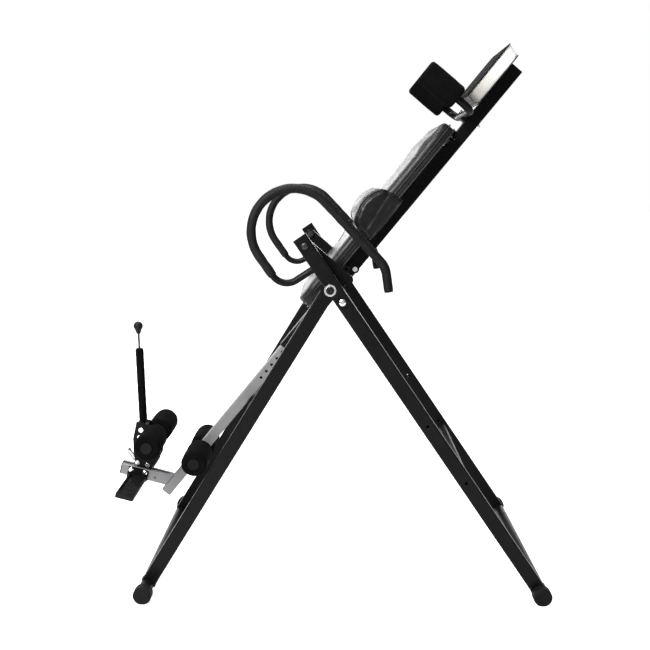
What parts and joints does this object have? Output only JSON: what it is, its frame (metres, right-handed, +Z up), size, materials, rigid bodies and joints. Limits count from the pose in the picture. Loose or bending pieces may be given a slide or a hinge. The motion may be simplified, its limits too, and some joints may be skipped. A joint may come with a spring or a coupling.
{
  "type": "inversion table",
  "caption": "Folding A-frame inversion table with a padded tilting bed, hand rails, shoulder supports and an adjustable ankle clamp.",
  "frame": {"origin": "on the floor, under the middle of the whole object at rest", "axes": "+X from the ankle end to the head end, +Z up, Y across the machine, about which it is symmetric apart from the boom's spring pin and the pillow's loose strap end"},
  "size_m": [1.2834, 0.71, 1.5463],
  "materials": {
    "black_enamel": "glossy black powder coat with a fine texture",
    "black_rubber": "matt moulded rubber",
    "black_foam": "closed-cell foam sleeve, matt, fine pores",
    "black_plastic": "moulded plastic, light grain",
    "bolt_chrome": "bright plated bolt heads",
    "zinc_steel": "zinc-plated steel",
    "silver_enamel": "satin silver powder coat",
    "black_vinyl": "padded leather-look vinyl with a fine grain and sewn seams",
    "plywood": "raw plywood board",
    "black_webbing": "woven webbing"
  },
  "bodies": {
    "rear_frame": {"rear_leg_near": "black_enamel", "rear_leg_far": "black_enamel", "rear_foot_tube": "black_enamel", "rear_cross_bar": "black_enamel", "rear_foot_caps": "black_rubber", "leg_end_plugs": "black_plastic", "hand_rails": "black_enamel", "rail_grips": "black_foam", "pivot_bolts": "bolt_chrome", "pivot_spacers": "zinc_steel", "hinge_bolts": "bolt_chrome", "hinge_washers": "zinc_steel", "lock_nuts": "zinc_steel", "spread_stop_bolts": "bolt_chrome"},
    "front_frame": {"front_leg_near": "black_enamel", "front_leg_far": "black_enamel", "front_foot_tube": "black_enamel", "front_foot_caps": "black_rubber", "rest_bar": "black_enamel", "rest_pad": "black_rubber"},
    "bed": {"main_tube": "black_enamel", "main_tube_plug": "black_plastic", "pivot_yoke": "black_enamel", "pivot_bushes": "black_plastic", "board_brackets": "black_enamel", "back_board": "plywood", "bed_bolts": "bolt_chrome", "backrest_cushion": "black_vinyl", "lumbar_pillow": "black_vinyl", "pillow_strap": "black_webbing", "headrest_plate": "black_enamel", "headrest_pad": "black_vinyl", "shoulder_saddle": "black_plastic", "shoulder_tube": "black_enamel", "shoulder_foam": "black_foam", "boom_guide": "black_plastic", "pin_housing": "zinc_steel"},
    "boom": {"boom_tube": "silver_enamel", "ankle_channel": "silver_enamel", "channel_cap": "black_plastic", "ratchet_rack": "zinc_steel", "rear_axle": "black_enamel", "footrest_bracket": "black_enamel", "foot_plates": "black_plastic", "footrest_screws": "bolt_chrome"},
    "clamp": {"slide_block": "black_plastic", "clamp_bracket": "black_enamel", "clamp_bolts": "bolt_chrome", "front_axle": "black_enamel", "lever_tube": "black_enamel", "lever_grip": "black_foam", "latch_spring": "zinc_steel"},
    "release": {"release_rod": "zinc_steel", "ball_knob": "black_plastic"},
    "adjuster": {"adjuster_pin": "zinc_steel", "adjuster_knob": "black_plastic"},
    "rear_roller_left": {"rear_roller_near": "black_foam"},
    "rear_roller_right": {"rear_roller_far": "black_foam"},
    "front_roller_left": {"front_roller_near": "black_foam"},
    "front_roller_right": {"front_roller_far": "black_foam"}
  },
  "joints": [
    {"name": "frame_fold", "type": "hinge", "parent": "rear_frame", "child": "front_frame", "pos_m": [0.02166, 0, 0.883], "axis": [0, 1, 0], "range_deg": [-60, 0]},
    {"name": "table_pivot", "type": "hinge", "parent": "rear_frame", "child": "bed", "pos_m": [-0.04484, 0, 1.0005], "axis": [0, 1, 0], "range_deg": [0, 138]},
    {"name": "boom_slide", "type": "slide", "parent": "bed", "child": "boom", "axis": [0.6341, 0, 0.7733], "range_m": [-0.078, 0.104]},
    {"name": "ankle_slide", "type": "slide", "parent": "boom", "child": "clamp", "axis": [0.9659, 0, -0.2588], "range_m": [-0.02, 0.045]},
    {"name": "release_pull", "type": "slide", "parent": "clamp", "child": "release", "axis": [-0.0175, 0, 0.9998], "range_m": [0, 0.012], "stiffness_N_per_m": 400, "springref_m": -0.01},
    {"name": "adjust_pin_pull", "type": "slide", "parent": "bed", "child": "adjuster", "axis": [0, -1, 0], "range_m": [0, 0.012], "stiffness_N_per_m": 400, "springref_m": -0.01},
    {"name": "rear_roller_left_spin", "type": "hinge", "parent": "boom", "child": "rear_roller_left", "pos_m": [-0.38415, 0, 0.33986], "axis": [0, 1, 0], "continuous": true},
    {"name": "rear_roller_right_spin", "type": "hinge", "parent": "boom", "child": "rear_roller_right", "pos_m": [-0.38415, 0, 0.33986], "axis": [0, 1, 0], "continuous": true},
    {"name": "front_roller_left_spin", "type": "hinge", "parent": "clamp", "child": "front_roller_left", "pos_m": [-0.52215, 0, 0.39053], "axis": [0, 1, 0], "continuous": true},
    {"name": "front_roller_right_spin", "type": "hinge", "parent": "clamp", "child": "front_roller_right", "pos_m": [-0.52215, 0, 0.39053], "axis": [0, 1, 0], "continuous": true}
  ]
}
